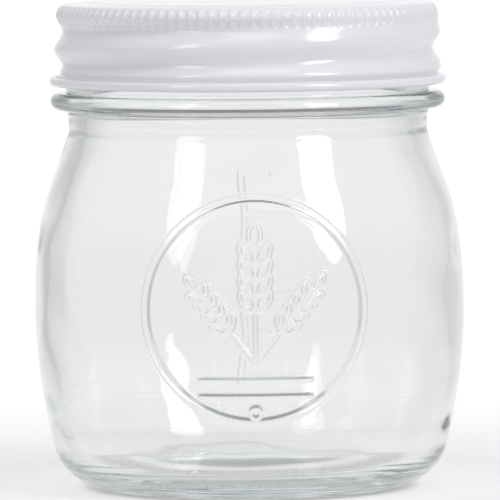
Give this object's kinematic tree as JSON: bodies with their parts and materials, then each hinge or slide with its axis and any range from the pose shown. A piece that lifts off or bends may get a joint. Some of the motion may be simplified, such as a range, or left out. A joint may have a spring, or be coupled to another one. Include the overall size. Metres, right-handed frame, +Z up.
{
  "type": "sourdough starter jar",
  "caption": "Barrel-shaped clear glass jar with a collar, a raised round emblem, a filling scale and a white one-piece metal screw lid with a loose seal disc.",
  "frame": {"origin": "on the jar's axis, at the level of its foot ring", "axes": "+Z up along the jar's axis, -Y to the front with the round emblem, +Y to the back with the filling scale"},
  "size_m": [0.08, 0.081, 0.0905],
  "materials": {
    "glass": "polished clear soda-lime glass",
    "lid_lacquer": "satin-gloss white lacquer on tinplate",
    "seal": "matte foamed polyethylene"
  },
  "bodies": {
    "jar": {"glass_jar": "glass"},
    "seal": {"seal_disc": "seal"},
    "lid": {"lid_shell": "lid_lacquer"}
  },
  "joints": [
    {"name": "lid_lift", "type": "slide", "parent": "jar", "child": "seal", "axis": [0, 0, 1], "range_m": [0, 0.024]},
    {"name": "lid_turn", "type": "hinge", "parent": "seal", "child": "lid", "pos_m": [0, 0, 0.08], "axis": [0, 0, 1], "range_deg": [0, 1440]}
  ],
  "couplings": [
    {"joint": "lid_lift", "follows": "lid_turn", "m_per_rad": 0.00095492}
  ]
}
